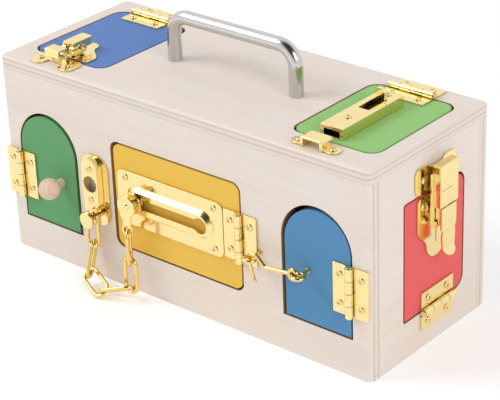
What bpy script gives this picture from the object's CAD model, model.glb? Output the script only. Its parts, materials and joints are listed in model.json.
"""Looks of the wooden lock box: whitewashed ply case, six painted doors and brass locks."""

import json
import logging
import math
from dataclasses import dataclass, field
from enum import Enum
from typing import Callable, Mapping, Sequence, Union

import bmesh
import bpy
from mathutils import Matrix, Vector

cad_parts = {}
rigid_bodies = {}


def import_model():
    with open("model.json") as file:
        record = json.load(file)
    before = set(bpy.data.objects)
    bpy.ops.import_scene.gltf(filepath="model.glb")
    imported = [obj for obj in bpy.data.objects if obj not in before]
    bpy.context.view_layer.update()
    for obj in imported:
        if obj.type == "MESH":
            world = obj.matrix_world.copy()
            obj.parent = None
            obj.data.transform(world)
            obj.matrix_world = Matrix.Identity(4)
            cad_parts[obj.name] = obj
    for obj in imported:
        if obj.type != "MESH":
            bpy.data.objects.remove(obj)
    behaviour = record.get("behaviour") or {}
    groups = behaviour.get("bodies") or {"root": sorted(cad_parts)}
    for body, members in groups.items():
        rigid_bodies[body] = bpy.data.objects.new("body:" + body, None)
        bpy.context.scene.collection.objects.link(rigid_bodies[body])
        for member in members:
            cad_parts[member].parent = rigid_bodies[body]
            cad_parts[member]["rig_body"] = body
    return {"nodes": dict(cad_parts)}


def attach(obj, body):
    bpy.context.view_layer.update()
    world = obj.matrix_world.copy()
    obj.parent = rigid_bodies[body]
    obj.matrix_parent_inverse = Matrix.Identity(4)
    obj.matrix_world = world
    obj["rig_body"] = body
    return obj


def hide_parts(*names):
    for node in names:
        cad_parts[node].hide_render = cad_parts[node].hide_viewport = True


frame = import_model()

LOG = logging.getLogger("lock_box")
MM = 0.001
MERGE = 0.001 * MM
CLOSE = 0.05 * MM
FLAT_ANGLE = math.radians(0.4)
SHARP_ANGLE = math.radians(38)
HALF_LENGTH = 145.0 * MM
HALF_WIDTH = 58.5 * MM
HEIGHT = 134.0 * MM
WHITE = (1.0, 1.0, 1.0, 1.0)
Number = Union[int, float]
Colour = tuple[float, float, float]


class Axis(Enum):
    """Directions in which grain runs or plies are stacked."""

    X = 0
    Y = 1
    Z = 2


class Value:
    """A shader socket, with Math nodes behind its operators."""

    def __init__(self, graph: "Graph", socket: bpy.types.NodeSocket) -> None:
        """Keep the socket and the graph that it belongs to."""
        self.graph = graph
        self.socket = socket

    def _math(self, operation: str, first: object, second: object) -> "Value":
        """Add one Math node.

        Args:
            operation: the Math node's operation.
            first: its first input, a number or a Value.
            second: its second input.

        Returns:
            The node's result.
        """
        return self.graph.node("ShaderNodeMath", {"operation": operation}, {0: first, 1: second})

    def __add__(self, other: object) -> "Value":
        """Sum of two values."""
        return self._math("ADD", self, other)

    def __radd__(self, other: object) -> "Value":
        """Sum with a plain number on the left."""
        return self._math("ADD", other, self)

    def __sub__(self, other: object) -> "Value":
        """Difference of two values."""
        return self._math("SUBTRACT", self, other)

    def __rsub__(self, other: object) -> "Value":
        """Difference from a plain number on the left."""
        return self._math("SUBTRACT", other, self)

    def __mul__(self, other: object) -> "Value":
        """Product of two values."""
        return self._math("MULTIPLY", self, other)

    def __rmul__(self, other: object) -> "Value":
        """Product with a plain number on the left."""
        return self._math("MULTIPLY", other, self)

    def __gt__(self, other: object) -> "Value":
        """One where this value is the larger, and zero elsewhere."""
        return self._math("GREATER_THAN", self, other)

    def __abs__(self) -> "Value":
        """Size of the value without its sign."""
        return self._math("ABSOLUTE", self, 0.0)

    def __mod__(self, other: object) -> "Value":
        """Remainder after division, always positive."""
        return self._math("FLOORED_MODULO", self, other)


class Graph:
    """The node tree of one material or of the world."""

    def __init__(self, tree: bpy.types.NodeTree) -> None:
        """Start from an empty tree.

        Args:
            tree: the tree to fill.
        """
        self.tree = tree
        self.tree.nodes.clear()

    def node(
        self,
        kind: str,
        settings: Mapping[str, object] | None = None,
        sockets: Mapping[Union[str, int], object] | None = None,
        out: Union[str, int] = 0,
    ) -> Value:
        """Add one node.

        Args:
            kind: the node's type.
            settings: its own settings.
            sockets: values or links of its inputs.
            out: the output to return.

        Returns:
            The chosen output.
        """
        made = self.tree.nodes.new(kind)
        for name, value in (settings or {}).items():
            setattr(made, name, value)
        for key, value in (sockets or {}).items():
            if isinstance(value, Value):
                self.tree.links.new(value.socket, made.inputs[key])
            else:
                made.inputs[key].default_value = value
        return Value(self, made.outputs[out]) if made.outputs else Value(self, None)

    def place(self, scale: Sequence[float] = (1, 1, 1), turn: Sequence[float] = (0, 0, 0)) -> Value:
        """Object coordinates, stretched and turned.

        Args:
            scale: stretch along each axis.
            turn: Euler angles in radians.

        Returns:
            The vector.
        """
        here = self.node("ShaderNodeTexCoord", out="Object")
        return self.node("ShaderNodeMapping", {}, {"Vector": here, "Rotation": turn, "Scale": scale})

    def along(self, axis: Axis, squeeze: Number) -> Value:
        """Object coordinates drawn out along an axis."""
        return self.place([squeeze if way is axis else 1.0 for way in Axis])

    def part(self, vector: Value, axis: Axis) -> Value:
        """One of the three parts of a vector."""
        return self.node("ShaderNodeSeparateXYZ", {}, {0: vector}, axis.value)

    def noise(self, vector: Value, scale: Number, detail: Number = 3.0, rough: Number = 0.55) -> Value:
        """Soft noise from 0 to 1.

        Args:
            vector: where it is read.
            scale: how fine it is.
            detail: octaves of finer noise.
            rough: strength of the finer octaves.

        Returns:
            The noise.
        """
        inputs = {"Vector": vector, "Scale": scale, "Detail": detail, "Roughness": rough}
        return self.node("ShaderNodeTexNoise", {}, inputs, "Fac")

    def ramp(self, value: Value, low: Number, high: Number) -> Value:
        """Smooth step of a value.

        Args:
            value: what is stepped.
            low: where it starts.
            high: where it is full.

        Returns:
            A value from 0 to 1.
        """
        inputs = {"Value": value, "From Min": low, "From Max": high}
        return self.node("ShaderNodeMapRange", {"interpolation_type": "SMOOTHSTEP"}, inputs)

    def blend(self, share: object, first: object, second: object) -> Value:
        """Mix of two colours.

        Args:
            share: how much of the second.
            first: colour, or a link.
            second: colour, or a link.

        Returns:
            The mixed colour.
        """
        whole = [(*c, 1.0) if isinstance(c, tuple) else c for c in (first, second)]
        settings = {"data_type": "RGBA", "clamp_factor": True}
        return self.node("ShaderNodeMix", settings, {0: share, 6: whole[0], 7: whole[1]}, 2)

    def side(self, axis: Axis) -> Value:
        """How squarely a face looks along an axis.

        Args:
            axis: the axis.

        Returns:
            A value from 0 to 1.
        """
        normal = self.node("ShaderNodeNewGeometry", out="Normal")
        return abs(self.part(normal, axis))

    def seen(self) -> Value:
        """Whether a ray comes from the camera, from a reflection or through glass.

        Returns:
            One for such rays and zero for the light that falls on surfaces.
        """
        rays = [self.ray(kind) for kind in ("Camera", "Glossy", "Transmission")]
        return 1 - (1 - rays[0]) * (1 - rays[1]) * (1 - rays[2])

    def ray(self, kind: str) -> Value:
        """One for rays of a kind, and zero for others."""
        return self.node("ShaderNodeLightPath", {}, {}, f"Is {kind} Ray")

    def bump(self, height: Value, depth: Number, strength: Number = 1.0) -> Value:
        """Surface relief.

        Args:
            height: the relief, from 0 to 1.
            depth: its depth in metres.
            strength: how much of it shows.

        Returns:
            The bent normal.
        """
        inputs = {"Height": height, "Distance": depth, "Strength": strength}
        return self.node("ShaderNodeBump", {}, inputs)


class Finish:
    """A material that is made once and shared by the pieces that have it."""

    name: str
    slot: str

    def material(self) -> bpy.types.Material:
        """The material, made on first use.

        Returns:
            The material.
        """
        found = bpy.data.materials.get(self.name)
        if found is not None:
            return found
        made = bpy.data.materials.new(self.name)
        made.use_nodes = True
        graph = Graph(made.node_tree)
        shader = graph.node("ShaderNodeBsdfPrincipled", {}, self.sockets(graph))
        graph.node("ShaderNodeOutputMaterial", {}, {"Surface": shader})
        made.diffuse_color = (*self.plain_colour(), 1.0)
        return made

    def sockets(self, graph: Graph) -> dict[str, object]:
        """Values of the shader's inputs, by name."""
        raise NotImplementedError

    def plain_colour(self) -> Colour:
        """Colour shown where no nodes are drawn."""
        raise NotImplementedError


@dataclass(frozen=True)
class WhitewashedPly(Finish):
    """Pale plywood under a thin white wash, with its layers bare on the cut edges."""

    name: str
    grain: Axis
    layers: Axis
    thickness: float
    first_layer: float
    slot: str = "case_wood"
    colour: Colour = (0.85, 0.765, 0.70)
    streak: Colour = (0.76, 0.65, 0.57)
    warm: Colour = (0.86, 0.745, 0.66)
    dark_layer: Colour = (0.60, 0.49, 0.42)
    burnt: Colour = (0.40, 0.23, 0.10)
    plies: int = 5
    rim: float = 4.0 * MM
    wobble: float = 0.6 * MM

    def plain_colour(self) -> Colour:
        """Colour of the wash."""
        return self.colour

    def inside(self, graph: Graph) -> Value:
        """Where a board is away from the outer edges of the box, as round an opening.

        Args:
            graph: where the nodes go.

        Returns:
            One inside and zero at the outer edges.
        """
        middles = (0.0, 0.0, HEIGHT / 2)
        reaches = (HALF_LENGTH, HALF_WIDTH, HEIGHT / 2)
        clear = [
            1 - (abs(graph.part(graph.place(), axis) - middle) > reach - self.rim)
            for axis, middle, reach in zip(Axis, middles, reaches)
            if axis is not self.layers
        ]
        return clear[0] * clear[1]

    def sockets(self, graph: Graph) -> dict[str, object]:
        """Grain on the faces and layers on the cut edges.

        Args:
            graph: where the nodes go.

        Returns:
            Values of the shader's inputs.
        """
        along = graph.along(self.grain, 0.05)
        streaks = graph.ramp(graph.noise(along, 420, 4), 0.45, 0.78)
        fine = graph.noise(along, 1500, 2)
        bands = graph.ramp(graph.noise(along, 95, 2), 0.35, 0.75)
        clouds = graph.ramp(graph.noise(graph.place(), 22, 2), 0.35, 0.7)
        wash = graph.blend(clouds, self.colour, self.warm)
        face = graph.blend(streaks * 0.3 + bands * 0.28 + fine * 0.12, wash, self.streak)
        here = graph.part(graph.place(), self.layers)
        wobble = graph.noise(along, 60, 1) * self.wobble
        depth = (here - self.first_layer + wobble) * (self.plies / self.thickness / 2)
        layer = graph.ramp(abs(depth % 1.0 - 0.5), 0.2, 0.3)
        edge = graph.blend(layer * 0.55 + fine * 0.2, wash, self.dark_layer)
        bare = 1 - graph.ramp(graph.side(self.layers), 0.25, 0.6)
        relief = streaks * 0.6 + fine * 0.4
        skin = graph.blend(bare * 0.85, face, edge)
        return {
            "Base Color": graph.blend(bare * self.inside(graph), skin, self.burnt),
            "Roughness": 0.5 + 0.16 * fine + 0.08 * bare,
            "Specular IOR Level": 0.35,
            "Normal": graph.bump(relief, 0.0001, 0.4),
        }


@dataclass(frozen=True)
class SatinPaint(Finish):
    """Satin paint brushed on wood, whose cut edges stay bare and scorched."""

    name: str
    colour: Colour
    deep: Colour
    slot: str
    grain: Axis
    facing: Axis
    burnt: Colour = (0.36, 0.19, 0.07)

    def plain_colour(self) -> Colour:
        """Colour of the paint."""
        return self.colour

    def sockets(self, graph: Graph) -> dict[str, object]:
        """Faint brush streaks over clouds of thicker and thinner paint.

        Args:
            graph: where the nodes go.

        Returns:
            Values of the shader's inputs.
        """
        along = graph.along(self.grain, 0.06)
        brush = graph.noise(along, 520, 3)
        clouds = graph.noise(graph.place(), 30, 3)
        share = graph.ramp(brush, 0.35, 0.75) * 0.5 + graph.ramp(clouds, 0.3, 0.75) * 0.4
        cut = 1 - graph.ramp(graph.side(self.facing), 0.3, 0.55)
        rim = graph.blend(0.5, self.deep, self.burnt)
        return {
            "Base Color": graph.blend(cut, graph.blend(share, self.colour, self.deep), rim),
            "Roughness": 0.42 + 0.14 * brush,
            "Coat Weight": 0.1,
            "Coat Roughness": 0.3,
            "Normal": graph.bump(brush * 0.7 + clouds * 0.3, 0.00015, 0.5),
        }


@dataclass(frozen=True)
class PolishedBrass(Finish):
    """Bright pressed brass, with a duller tone in its corners and faint smudges."""

    name: str = "polished_brass"
    slot: str = "brass"
    colour: Colour = (0.93, 0.755, 0.365)
    smudge: Colour = (0.89, 0.67, 0.25)
    corner: Colour = (0.30, 0.16, 0.04)
    gloss: float = 0.13
    reach: float = 1.6 * MM

    def plain_colour(self) -> Colour:
        """Colour of the brass."""
        return self.colour

    def sockets(self, graph: Graph) -> dict[str, object]:
        """Smudged polish that dulls in the corners.

        Args:
            graph: where the nodes go.

        Returns:
            Values of the shader's inputs.
        """
        smears = graph.ramp(graph.noise(graph.place(), 90, 3), 0.45, 0.8)
        rubs = graph.noise(graph.place((1, 1, 0.15), (0.4, 0.3, 0.6)), 2600, 2)
        near = {"Distance": self.reach}
        open_to_air = graph.node("ShaderNodeAmbientOcclusion", {"samples": 8}, near, "AO")
        dull = 1 - graph.ramp(open_to_air, 0.35, 0.8)
        bright = graph.blend(smears * 0.4, self.colour, self.smudge)
        return {
            "Base Color": graph.blend(dull * 0.7, bright, self.corner),
            "Metallic": 1.0,
            "Roughness": self.gloss + 0.05 * smears + 0.04 * rubs + 0.2 * dull,
            "Normal": graph.bump(rubs, 0.00001, 0.3),
        }


@dataclass(frozen=True)
class TubeBrass(PolishedBrass):
    """Polished brass that is left dark inside the tube of the sliding bolt."""

    name: str = "tube_brass"
    dark: Colour = (0.035, 0.022, 0.009)
    middle_x: float = 100.8 * MM
    middle_z: float = 136.9 * MM
    reach_x: float = 5.6 * MM
    reach_z: float = 2.05 * MM

    def sockets(self, graph: Graph) -> dict[str, object]:
        """Polish outside the tube and dark metal inside it.

        Args:
            graph: where the nodes go.

        Returns:
            Values of the shader's inputs.
        """
        values = super().sockets(graph)
        across = graph.part(graph.place(), Axis.X)
        up = graph.part(graph.place(), Axis.Z)
        between = 1 - (abs(across - self.middle_x) > self.reach_x)
        level = 1 - (abs(up - self.middle_z) > self.reach_z)
        values["Base Color"] = graph.blend(between * level, values["Base Color"], self.dark)
        return values


@dataclass(frozen=True)
class SatinSteel(Finish):
    """Steel with a satin finish, brushed lengthwise."""

    name: str = "satin_steel"
    slot: str = "steel"
    colour: Colour = (0.67, 0.66, 0.65)
    shade: Colour = (0.52, 0.51, 0.50)
    gloss: float = 0.12

    def plain_colour(self) -> Colour:
        """Colour of the steel."""
        return self.colour

    def sockets(self, graph: Graph) -> dict[str, object]:
        """Brush marks along the bar.

        Args:
            graph: where the nodes go.

        Returns:
            Values of the shader's inputs.
        """
        marks = graph.noise(graph.place((0.04, 1, 1)), 3000, 2)
        clouds = graph.noise(graph.place(), 60, 2)
        return {
            "Base Color": graph.blend(marks * 0.5 + clouds * 0.3, self.colour, self.shade),
            "Metallic": 1.0,
            "Roughness": self.gloss + 0.08 * marks,
            "Normal": graph.bump(marks, 0.00004, 0.5),
        }


@dataclass(frozen=True)
class BareWood(Finish):
    """Bare turned or sawn wood with growth rings."""

    name: str = "bare_wood"
    slot: str = "raw_wood"
    colour: Colour = (0.80, 0.60, 0.46)
    ring: Colour = (0.62, 0.41, 0.27)

    def plain_colour(self) -> Colour:
        """Colour between the rings."""
        return self.colour

    def sockets(self, graph: Graph) -> dict[str, object]:
        """Growth rings, pores and a soft sheen.

        Args:
            graph: where the nodes go.

        Returns:
            Values of the shader's inputs.
        """
        tilted = graph.place((1, 0.2, 1), (0.2, 0.35, 0.1))
        rings = graph.node(
            "ShaderNodeTexWave",
            {"wave_type": "BANDS", "bands_direction": "X"},
            {"Vector": tilted, "Scale": 110, "Distortion": 3.0, "Detail": 2.0, "Detail Scale": 1.5},
            "Fac",
        )
        pores = graph.ramp(graph.noise(graph.place((1, 0.1, 1)), 1800, 2), 0.5, 0.75)
        return {
            "Base Color": graph.blend(rings * 0.4 + pores * 0.3, self.colour, self.ring),
            "Roughness": 0.48 + 0.15 * pores,
            "Normal": graph.bump(pores, 0.0001, 0.5),
        }


@dataclass
class Assembly:
    """Pieces that belong together, each a copy of its solid with eased edges."""

    title: str
    made: list[str] = field(default_factory=list)

    def copied(self, node: str) -> bmesh.types.BMesh:
        """Copy a solid's mesh, with its doubles merged and its flat faces whole.

        Args:
            node: the solid's name.

        Returns:
            The mesh.
        """
        shape = bmesh.new()
        shape.from_mesh(frame["nodes"][node].data)
        bmesh.ops.remove_doubles(shape, verts=shape.verts, dist=MERGE)
        bmesh.ops.dissolve_limit(
            shape,
            angle_limit=FLAT_ANGLE,
            use_dissolve_boundaries=False,
            verts=shape.verts,
            edges=shape.edges,
        )
        return shape

    @staticmethod
    def ease(
        shape: bmesh.types.BMesh,
        edge: float,
        steps: int = 2,
        least: float = 28.0,
        where: Callable[[Vector], bool] | None = None,
    ) -> None:
        """Round the sharp edges of a mesh.

        Args:
            shape: the mesh.
            edge: width of the rounding, in millimetres.
            steps: faces across the rounding.
            least: angle between faces, in degrees, from which an edge is rounded.
            where: test of an edge's two ends, or none for all edges.
        """
        limit = math.radians(least)
        sharp = [
            e
            for e in shape.edges
            if e.is_manifold
            and e.calc_face_angle(0.0) > limit
            and (where is None or all(where(v.co) for v in e.verts))
        ]
        bmesh.ops.bevel(
            shape,
            geom=sharp,
            affect="EDGES",
            offset=edge * MM,
            offset_type="OFFSET",
            segments=steps,
            profile=0.5,
            clamp_overlap=True,
            material=-1,
        )

    def eased(self, node: str, finish: Finish, edge: float, steps: int = 2) -> bpy.types.Object:
        """Copy a solid, ease its sharp edges and give it a finish.

        Args:
            node: the solid's name.
            finish: what it is finished with.
            edge: width of the eased edge, in millimetres.
            steps: faces across an eased edge.

        Returns:
            The new piece, which stands for the solid.
        """
        shape = self.copied(node)
        self.ease(shape, edge, steps)
        return self.piece(f"{node}_finished", shape, node, finish)

    def piece(self, name: str, shape: bmesh.types.BMesh, node: str, finish: Finish) -> bpy.types.Object:
        """Make an object that stands for a solid and rides on its body.

        Args:
            name: the object's name.
            shape: its mesh, which is used up.
            node: the solid that it stands for.
            finish: what it is finished with.

        Returns:
            The object.
        """
        obj = self.loose(name, shape, finish, frame["nodes"][node]["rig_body"])
        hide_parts(node)
        return obj

    def loose(self, name: str, shape: bmesh.types.BMesh, finish: Finish, body: str) -> bpy.types.Object:
        """Make an object that rides on a body.

        Args:
            name: the object's name.
            shape: its mesh, which is used up.
            finish: what it is finished with.
            body: the body that carries it.

        Returns:
            The object.
        """
        mesh = bpy.data.meshes.new(name)
        shape.to_mesh(mesh)
        shape.free()
        mesh.shade_smooth()
        mesh.set_sharp_from_angle(angle=SHARP_ANGLE)
        mesh.materials.clear()
        mesh.materials.append(finish.material())
        obj = bpy.data.objects.new(name, mesh)
        bpy.context.scene.collection.objects.link(obj)
        even = obj.modifiers.new("even_normals", "WEIGHTED_NORMAL")
        even.keep_sharp = True
        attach(obj, body)
        self.made.append(name)
        return obj

    def plain(self, node: str, finish: Finish) -> None:
        """Finish a solid that stays as it is.

        Args:
            node: the solid's name.
            finish: what it is finished with.
        """
        mesh = frame["nodes"][node].data
        mesh.materials.clear()
        mesh.materials.append(finish.material())
        self.made.append(node)


BRASS = PolishedBrass()
WIRE = PolishedBrass("drawn_brass", colour=(0.86, 0.63, 0.23), smudge=(0.80, 0.54, 0.15), gloss=0.08)
TUBE = TubeBrass()
STEEL = SatinSteel()
BARE = BareWood()


@dataclass
class Case(Assembly):
    """The ply box, its door stops, magnet and carrying handle."""

    title: str = "case"
    board_edge: float = 0.7
    rim: float = 2.2
    rim_steps: int = 4
    rim_reach: float = 4.5 * MM
    handle_edge: float = 0.4
    handle_steps: int = 3
    wall: float = 10.0 * MM
    board: float = 8.0 * MM

    def ply(self, node: str, grain: Axis, layers: Axis, thickness: float, first: float) -> WhitewashedPly:
        """Ply of one board, with its own grain and layers."""
        return WhitewashedPly(f"ply_{node}", grain, layers, thickness, first)

    def on_rim(self, point: Vector) -> bool:
        """Whether a point is on the upper outer edge of the top board."""
        at_end = abs(point.x) > HALF_LENGTH - self.rim_reach
        at_side = abs(point.y) > HALF_WIDTH - self.rim_reach
        return (at_end or at_side) and point.z > HEIGHT - CLOSE

    def build(self) -> None:
        """Dress the boards, the handle and what is inside."""
        boards = {
            "front_panel": (Axis.X, Axis.Y, self.wall, -HALF_WIDTH),
            "back_panel": (Axis.X, Axis.Y, self.wall, HALF_WIDTH - self.wall),
            "left_side": (Axis.Y, Axis.X, self.wall, -HALF_LENGTH),
            "right_side": (Axis.Y, Axis.X, self.wall, HALF_LENGTH - self.wall),
            "top_board": (Axis.X, Axis.Z, self.board, HEIGHT - self.board),
            "bottom_board": (Axis.X, Axis.Z, self.board, 0.0),
        }
        for node, (grain, layers, thickness, first) in boards.items():
            shape = self.copied(node)
            self.ease(shape, self.rim, self.rim_steps, where=self.on_rim)
            self.ease(shape, self.board_edge)
            self.piece(f"{node}_finished", shape, node, self.ply(node, grain, layers, thickness, first))
        self.plain("door_stops", BARE)
        self.plain("magnet", STEEL)
        self.eased("carry_handle", STEEL, self.handle_edge, self.handle_steps)
        self.plain("handle_screws", STEEL)


@dataclass
class Doors(Assembly):
    """The six painted doors."""

    title: str = "doors"
    door_edge: float = 0.5
    screw_edge: float = 0.12
    knob_edge: float = 0.3

    def paint(self, name: str, colour: Colour, deep: Colour, grain: Axis, facing: Axis) -> SatinPaint:
        """Paint of one door, in the slot that is named for it."""
        return SatinPaint(f"{name}_paint", colour, deep, f"{name}_paint", grain, facing)

    def build(self) -> None:
        """Paint the doors and turn the knob of the green one."""
        paints = {
            "green": self.paint("green", (0.096, 0.33, 0.115), (0.075, 0.27, 0.09), Axis.Z, Axis.Y),
            "blue": self.paint("blue", (0.054, 0.20, 0.385), (0.042, 0.16, 0.33), Axis.Z, Axis.Y),
            "yellow": self.paint("yellow", (0.88, 0.545, 0.036), (0.81, 0.465, 0.025), Axis.X, Axis.Y),
            "royal": self.paint("royal", (0.11, 0.22, 0.55), (0.09, 0.18, 0.47), Axis.X, Axis.Z),
            "lime": self.paint("lime", (0.30, 0.58, 0.19), (0.25, 0.51, 0.15), Axis.X, Axis.Z),
            "red": self.paint("red", (0.87, 0.078, 0.072), (0.79, 0.056, 0.052), Axis.Z, Axis.X),
        }
        for name, paint in paints.items():
            self.eased(f"{name}_door", paint, self.door_edge)
            self.eased(f"{name}_screws", BRASS, self.screw_edge)
        self.eased("green_knob", BARE, self.knob_edge)
        self.plain("strike_disc", STEEL)


@dataclass
class BrassWork(Assembly):
    """A set of brass fittings with one width of eased edge."""

    edge: float = 0.2
    nodes: Sequence[str] = ()
    pins: Sequence[str] = ()
    brass: PolishedBrass = BRASS

    def build(self) -> None:
        """Ease and polish each fitting, and finish the steel pins."""
        for node in self.nodes:
            self.eased(node, self.brass, self.edge)
        for node in self.pins:
            self.plain(node, STEEL)


@dataclass
class ChainLock(BrassWork):
    """Anchor, chain, slider and track, with the pressed ridges well rounded."""

    title: str = "chain lock"
    edge: float = 0.25
    slider_edge: float = 0.4
    stud_edge: float = 0.5
    stud_steps: int = 3
    ridge_height: float = 4.0 * MM
    ridge_bevel: float = 2.4
    ridge_steps: int = 1
    ridge_middle: tuple[float, float] = (-4.2 * MM, 65.3 * MM)
    ridge_half: tuple[float, float] = (33.0 * MM, 6.0 * MM)
    boss_height: float = 6.0 * MM
    boss_bevel: float = 0.95
    boss_steps: int = 3
    boss_middle: tuple[float, float] = (-66.0 * MM, 68.0 * MM)
    boss_half: tuple[float, float] = (5.9 * MM, 13.5 * MM)
    links: int = 6
    rivet_sides: int = 32
    disc_middle: tuple[float, float, float] = (-30.7 * MM, -70.3 * MM, 65.3 * MM)
    rivet_rows: Sequence[tuple[float, float]] = (
        (0.0, 0.3), (0.5, 0.35), (1.0, 0.85), (1.5, 1.0),
        (2.0, 0.75), (2.3, 0.1), (2.3, -0.2), (0.0, -0.2),
    )

    @staticmethod
    def outside(point: Vector, height: float, middle: Sequence[float], half: Sequence[float]) -> bool:
        """Whether a point is on a raised face and outside a part of it.

        Args:
            point: the point.
            height: how far the face stands out from the front of the box.
            middle: middle of the part, across and up.
            half: half of its width and of its height.

        Returns:
            True on the face and outside the part.
        """
        level = abs(point.y + HALF_WIDTH + height) < CLOSE
        across, up = abs(point.x - middle[0]), abs(point.z - middle[1])
        return level and (across > half[0] or up > half[1])

    def on_ridge(self, point: Vector) -> bool:
        """Whether a point is on the outer rim of the track's ridge."""
        return self.outside(point, self.ridge_height, self.ridge_middle, self.ridge_half)

    def on_boss(self, point: Vector) -> bool:
        """Whether a point is on the outer rim of the anchor's boss."""
        return self.outside(point, self.boss_height, self.boss_middle, self.boss_half)

    def rivet(self) -> None:
        """Turn the domed rivet in the middle of the slider's disc."""
        shape = bmesh.new()
        middle = Vector(self.disc_middle)
        rim = [shape.verts.new(middle + Vector((wide, -out, 0)) * MM) for wide, out in self.rivet_rows]
        sides = [shape.edges.new(pair) for pair in zip(rim, rim[1:])]
        bmesh.ops.spin(
            shape,
            geom=rim + sides,
            cent=middle,
            axis=(0, 1, 0),
            angle=2 * math.pi,
            steps=self.rivet_sides,
            use_merge=True,
        )
        bmesh.ops.remove_doubles(shape, verts=shape.verts, dist=MERGE)
        bmesh.ops.recalc_face_normals(shape, faces=shape.faces)
        self.loose("slider_rivet", shape, BRASS, frame["nodes"]["chain_slider"]["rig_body"])

    def build(self) -> None:
        """Press the two plates and polish the moving pieces."""
        track = self.copied("slide_track")
        self.ease(track, self.ridge_bevel, self.ridge_steps, where=self.on_ridge)
        self.ease(track, self.edge)
        self.piece("slide_track_finished", track, "slide_track", BRASS)
        anchor = self.copied("chain_anchor")
        self.ease(anchor, self.boss_bevel, self.boss_steps, where=self.on_boss)
        self.ease(anchor, self.edge)
        self.piece("chain_anchor_finished", anchor, "chain_anchor", BRASS)
        self.eased("chain_slider", BRASS, self.slider_edge)
        self.rivet()
        self.eased("chain_stud", BRASS, self.stud_edge, self.stud_steps)
        for i in range(1, self.links + 1):
            self.eased(f"chain_link_{i}", WIRE, self.edge)


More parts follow.
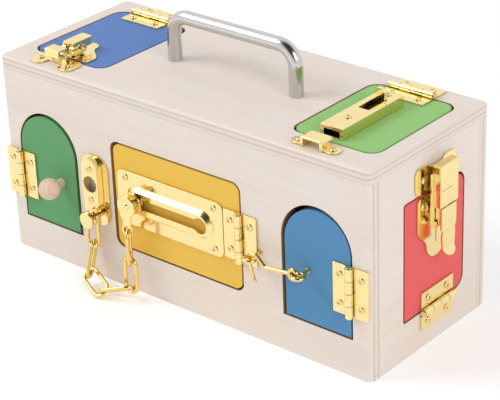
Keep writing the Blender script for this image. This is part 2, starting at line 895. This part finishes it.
@dataclass
class Studio:
    """Camera, floor, lamps and world, with a darker part of the sky that only reflections show."""

    turn: float = 40.94
    height: float = 26.88
    roll: float = -2.23
    distance: float = 1158.4 * MM
    target: tuple[float, float, float] = (8.5 * MM, 0.0, 53.0 * MM)
    lens: float = 134.16
    sensor: float = 36.0
    nearest: float = 0.01
    sky: float = 0.62
    floor_half: float = 4.0
    floor_tone: float = 0.94
    floor_lift: float = 0.18
    dark_side: tuple[float, float, float] = (0.42, -0.42, 0.80)
    dark_spread: tuple[float, float] = (0.50, 0.92)
    dark_depth: float = 0.95
    lit_point: tuple[float, float, float] = (0.0, 0.0, 0.06)

    def camera(self) -> bpy.types.Object:
        """Place the camera where the photograph was taken.

        Returns:
            The camera.
        """
        turn, height, roll = (math.radians(a) for a in (self.turn, self.height, self.roll))
        level = math.cos(height)
        back = Vector((math.sin(turn) * level, -math.cos(turn) * level, math.sin(height)))
        right = (-back).cross(Vector((0, 0, 1))).normalized()
        up = right.cross(-back)
        right, up = (
            math.cos(roll) * right + math.sin(roll) * up,
            math.cos(roll) * up - math.sin(roll) * right,
        )
        data = bpy.data.cameras.new("photo_camera")
        data.sensor_fit = "HORIZONTAL"
        data.sensor_width = self.sensor
        data.lens = self.lens
        data.clip_start = self.nearest
        camera = bpy.data.objects.new("photo_camera", data)
        pose = Matrix((right, up, back)).transposed().to_4x4()
        pose.translation = Vector(self.target) + back * self.distance
        camera.matrix_world = pose
        bpy.context.scene.collection.objects.link(camera)
        bpy.context.scene.camera = camera
        return camera

    def floor(self) -> bpy.types.Object:
        """Lay a plain pale floor.

        Returns:
            The floor.
        """
        shape = bmesh.new()
        bmesh.ops.create_grid(shape, x_segments=1, y_segments=1, size=self.floor_half)
        mesh = bpy.data.meshes.new("floor")
        shape.to_mesh(mesh)
        shape.free()
        floor = bpy.data.objects.new("floor", mesh)
        bpy.context.scene.collection.objects.link(floor)
        material = bpy.data.materials.new("pale_floor")
        material.use_nodes = True
        graph = Graph(material.node_tree)
        pale = (*[self.floor_tone] * 3, 1.0)
        matt = graph.node("ShaderNodeBsdfDiffuse", {}, {"Color": pale})
        glow = self.floor_lift * graph.seen()
        lift = graph.node("ShaderNodeEmission", {}, {"Color": WHITE, "Strength": glow})
        both = graph.node("ShaderNodeAddShader", {}, {0: matt, 1: lift})
        graph.node("ShaderNodeOutputMaterial", {}, {"Surface": both})
        mesh.materials.append(material)
        return floor

    def lamp(self, name: str, place: Sequence[float], size: float, power: float) -> bpy.types.Object:
        """Hang one soft lamp, turned to the box.

        Args:
            name: the lamp's name.
            place: where it hangs.
            size: its width and height.
            power: its power in watts.

        Returns:
            The lamp.
        """
        data = bpy.data.lights.new(name, "AREA")
        data.shape = "SQUARE"
        data.size = size
        data.energy = power
        lamp = bpy.data.objects.new(name, data)
        lamp.location = place
        aim = Vector(self.lit_point) - Vector(place)
        lamp.rotation_euler = aim.to_track_quat("-Z", "Y").to_euler()
        bpy.context.scene.collection.objects.link(lamp)
        return lamp

    def world(self) -> None:
        """Surround the box with even white light that also shows as the background."""
        world = bpy.data.worlds.new("studio")
        bpy.context.scene.world = world
        world.use_nodes = True
        graph = Graph(world.node_tree)
        way = graph.node("ShaderNodeTexCoord", {}, {}, "Generated")
        facing = {0: way, 1: self.dark_side}
        dot = graph.node("ShaderNodeVectorMath", {"operation": "DOT_PRODUCT"}, facing, "Value")
        dark = graph.ramp(dot, *self.dark_spread) * graph.ray("Glossy")
        strength = self.sky + (1 - self.sky) * graph.seen() - self.dark_depth * dark
        light = graph.node("ShaderNodeBackground", {}, {"Color": WHITE, "Strength": strength})
        graph.node("ShaderNodeOutputWorld", {}, {"Surface": light})

    def build(self) -> None:
        """Set up the whole studio."""
        bpy.context.scene.view_settings.view_transform = "Standard"
        self.camera()
        self.floor()
        self.world()
        self.lamp("key_lamp", (-1.5, -1.17, 1.79), 1.2, 22.0)
        self.lamp("side_lamp", (1.9, -0.5, 1.2), 1.0, 14.0)


def main() -> None:
    """Build the sub-assemblies in order and report each piece."""
    logging.basicConfig(level=logging.INFO, format="%(name)s: %(message)s")
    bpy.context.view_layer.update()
    Studio().build()
    leaves = [f"{colour}_hinge_leaf" for colour in ("green", "blue", "yellow", "royal", "lime", "red")]
    plates = ("base", "lever", "claw", "strike")
    sets: list[Assembly] = [
        Case(),
        Doors(),
        BrassWork("hinges", nodes=("frame_hinge_leaves", "frame_screws", "hinge_pins", *leaves)),
        ChainLock(),
        BrassWork("hook and eye", edge=0.12, nodes=("hook", "door_eye", "case_eye"), brass=WIRE),
        BrassWork("sliding bolt", edge=0.3, nodes=("bolt_housing", "bolt", "bolt_keeper"), brass=TUBE),
        BrassWork(
            "toggle latches",
            edge=0.25,
            nodes=[f"{colour}_latch_{plate}" for colour in ("royal", "red") for plate in plates],
            pins=("royal_latch_pin", "red_latch_pin"),
        ),
    ]
    for assembly in sets:
        assembly.build()
        for name in assembly.made:
            LOG.info("%s: %s", assembly.title, name)


if __name__ == "__main__":
    main()
